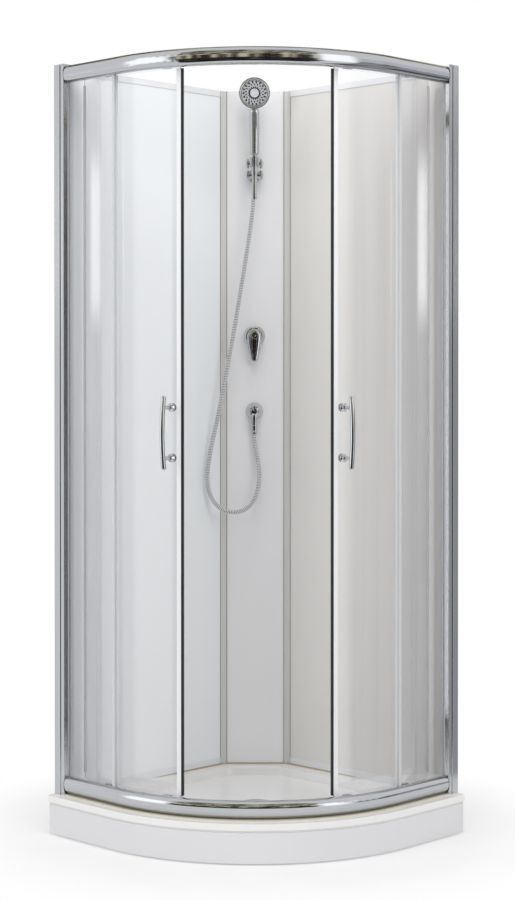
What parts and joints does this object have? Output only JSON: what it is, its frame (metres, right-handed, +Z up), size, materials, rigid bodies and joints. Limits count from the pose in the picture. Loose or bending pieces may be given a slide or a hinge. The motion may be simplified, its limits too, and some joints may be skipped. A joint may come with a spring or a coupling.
{
  "type": "quadrant shower enclosure",
  "caption": "Corner quadrant shower enclosure with sliding curved glass doors, low tray, wall lining, lever mixer and hand shower.",
  "frame": {"origin": "centre of the footprint on the floor, under the middle of the bounding box", "axes": "+Z up, -Y towards the entrance, +X to the right of a person facing the entrance; the wall corner is at +Y"},
  "size_m": [1.1238, 0.8985, 2.0988],
  "materials": {
    "acrylic": "glossy white acrylic",
    "lining": "satin light grey lining panel",
    "chromed_profile": "bright chromed aluminium profile",
    "aluminium": "satin aluminium",
    "safety_glass": "clear toughened glass with green edges",
    "clear_seal": "translucent soft PVC",
    "magnet": "black magnetic strip",
    "sealant": "cream silicone",
    "black_plastic": "black moulded plastic",
    "white_plastic": "white moulded plastic",
    "chrome": "polished chrome",
    "chromed_plastic": "chrome-plated plastic",
    "grey_plastic": "grey spray plate",
    "steel": "galvanised steel",
    "steel_hose": "chromed metal spiral hose"
  },
  "bodies": {
    "enclosure": {"bottom_rail": "chromed_profile", "corner_panel": "lining", "drain_body": "white_plastic", "fixed_glass_seals": "clear_seal", "glass_gaskets": "clear_seal", "holder_base": "chromed_plastic", "hose_outlet": "chrome", "left_fixed_glass": "safety_glass", "left_post": "chromed_profile", "left_wall_panel": "lining", "left_wall_profile": "chromed_profile", "mixer_body": "chrome", "mixer_rose": "chrome", "outlet_hose_nut": "chrome", "panel_corner_profiles": "aluminium", "panel_foot_profiles": "aluminium", "panel_top_profiles": "aluminium", "post_caps": "chromed_profile", "rail_end_plugs": "black_plastic", "right_fixed_glass": "safety_glass", "right_post": "chromed_profile", "right_wall_panel": "lining", "right_wall_profile": "chromed_profile", "sealing_bead": "sealant", "shower_hose": "steel_hose", "shower_tray": "acrylic", "support_beams": "steel", "top_rail": "chromed_profile", "tray_apron": "acrylic", "tray_feet": "steel"},
    "left_door": {"left_door_glass": "safety_glass", "left_magnet": "magnet", "left_magnet_seal": "clear_seal", "left_trailing_seal": "clear_seal", "left_roller_brackets": "chrome", "left_handle_bar": "chrome", "left_handle_fixings": "chrome"},
    "right_door": {"right_door_glass": "safety_glass", "right_magnet": "magnet", "right_magnet_seal": "clear_seal", "right_trailing_seal": "clear_seal", "right_roller_brackets": "chrome", "right_handle_bar": "chrome", "right_handle_fixings": "chrome"},
    "drain_cap": {"drain_cap": "chromed_plastic"},
    "mixer_spindle": {"mixer_spindle": "chrome"},
    "mixer_lever": {"mixer_lever": "chrome"},
    "swivel_holder": {"swivel_holder": "chromed_plastic"},
    "handset": {"handset_body": "chromed_plastic", "spray_plate": "grey_plastic", "spray_hub": "grey_plastic", "handset_hose_nut": "chrome"},
    "left_wheel_top_front": {"left_wheel_top_front": "white_plastic"},
    "left_wheel_top_rear": {"left_wheel_top_rear": "white_plastic"},
    "left_wheel_bottom_front": {"left_wheel_bottom_front": "white_plastic"},
    "left_wheel_bottom_rear": {"left_wheel_bottom_rear": "white_plastic"},
    "right_wheel_top_front": {"right_wheel_top_front": "white_plastic"},
    "right_wheel_top_rear": {"right_wheel_top_rear": "white_plastic"},
    "right_wheel_bottom_front": {"right_wheel_bottom_front": "white_plastic"},
    "right_wheel_bottom_rear": {"right_wheel_bottom_rear": "white_plastic"}
  },
  "joints": [
    {"name": "left_door_slide", "type": "hinge", "parent": "enclosure", "child": "left_door", "pos_m": [0, 0.10071, 1.085], "axis": [0, 0, 1], "range_deg": [0, 22.66]},
    {"name": "right_door_slide", "type": "hinge", "parent": "enclosure", "child": "right_door", "pos_m": [0, 0.10071, 1.085], "axis": [0, 0, -1], "range_deg": [0, 22.66]},
    {"name": "left_wheel_top_front_roll", "type": "hinge", "parent": "left_door", "child": "left_wheel_top_front", "pos_m": [-0.22673, -0.32214, 2.0528], "axis": [-0.4726, -0.8813, 0], "continuous": true},
    {"name": "left_wheel_top_rear_roll", "type": "hinge", "parent": "left_door", "child": "left_wheel_top_rear", "pos_m": [-0.38065, -0.19137, 2.0528], "axis": [-0.7934, -0.6088, 0], "continuous": true},
    {"name": "left_wheel_bottom_front_roll", "type": "hinge", "parent": "left_door", "child": "left_wheel_bottom_front", "pos_m": [-0.22673, -0.32214, 0.1252], "axis": [-0.4726, -0.8813, 0], "continuous": true},
    {"name": "left_wheel_bottom_rear_roll", "type": "hinge", "parent": "left_door", "child": "left_wheel_bottom_rear", "pos_m": [-0.38065, -0.19137, 0.1252], "axis": [-0.7934, -0.6088, 0], "continuous": true},
    {"name": "right_wheel_top_front_roll", "type": "hinge", "parent": "right_door", "child": "right_wheel_top_front", "pos_m": [0.22673, -0.32214, 2.0528], "axis": [0.4726, -0.8813, 0], "continuous": true},
    {"name": "right_wheel_top_rear_roll", "type": "hinge", "parent": "right_door", "child": "right_wheel_top_rear", "pos_m": [0.38065, -0.19137, 2.0528], "axis": [0.7934, -0.6088, 0], "continuous": true},
    {"name": "right_wheel_bottom_front_roll", "type": "hinge", "parent": "right_door", "child": "right_wheel_bottom_front", "pos_m": [0.22673, -0.32214, 0.1252], "axis": [0.4726, -0.8813, 0], "continuous": true},
    {"name": "right_wheel_bottom_rear_roll", "type": "hinge", "parent": "right_door", "child": "right_wheel_bottom_rear", "pos_m": [0.38065, -0.19137, 0.1252], "axis": [0.7934, -0.6088, 0], "continuous": true},
    {"name": "drain_cap_lift", "type": "slide", "parent": "enclosure", "child": "drain_cap", "axis": [0, 0, 1], "range_m": [0, 0.03]},
    {"name": "mixer_turn", "type": "hinge", "parent": "enclosure", "child": "mixer_spindle", "pos_m": [-0.003, 0.34113, 1.353], "axis": [0, -1, 0], "range_deg": [-42, 42]},
    {"name": "mixer_lift", "type": "hinge", "parent": "mixer_spindle", "child": "mixer_lever", "pos_m": [-0.003, 0.31862, 1.365], "axis": [-1, 0, 0], "range_deg": [0, 22]},
    {"name": "holder_tilt", "type": "hinge", "parent": "enclosure", "child": "swivel_holder", "pos_m": [-0.003, 0.31012, 1.822], "axis": [1, 0, 0], "range_deg": [-8, 25], "deforming": ["shower_hose"]},
    {"name": "handset_lift", "type": "slide", "parent": "swivel_holder", "child": "handset", "axis": [0, 0, 1], "range_m": [0, 0.06], "deforming": ["shower_hose"]}
  ],
  "couplings": [
    {"joint": "left_wheel_top_front_roll", "follows": "left_door_slide", "ratio": -47.98},
    {"joint": "left_wheel_top_rear_roll", "follows": "left_door_slide", "ratio": -47.98},
    {"joint": "left_wheel_bottom_front_roll", "follows": "left_door_slide", "ratio": 47.98},
    {"joint": "left_wheel_bottom_rear_roll", "follows": "left_door_slide", "ratio": 47.98},
    {"joint": "right_wheel_top_front_roll", "follows": "right_door_slide", "ratio": 47.98},
    {"joint": "right_wheel_top_rear_roll", "follows": "right_door_slide", "ratio": 47.98},
    {"joint": "right_wheel_bottom_front_roll", "follows": "right_door_slide", "ratio": -47.98},
    {"joint": "right_wheel_bottom_rear_roll", "follows": "right_door_slide", "ratio": -47.98}
  ]
}
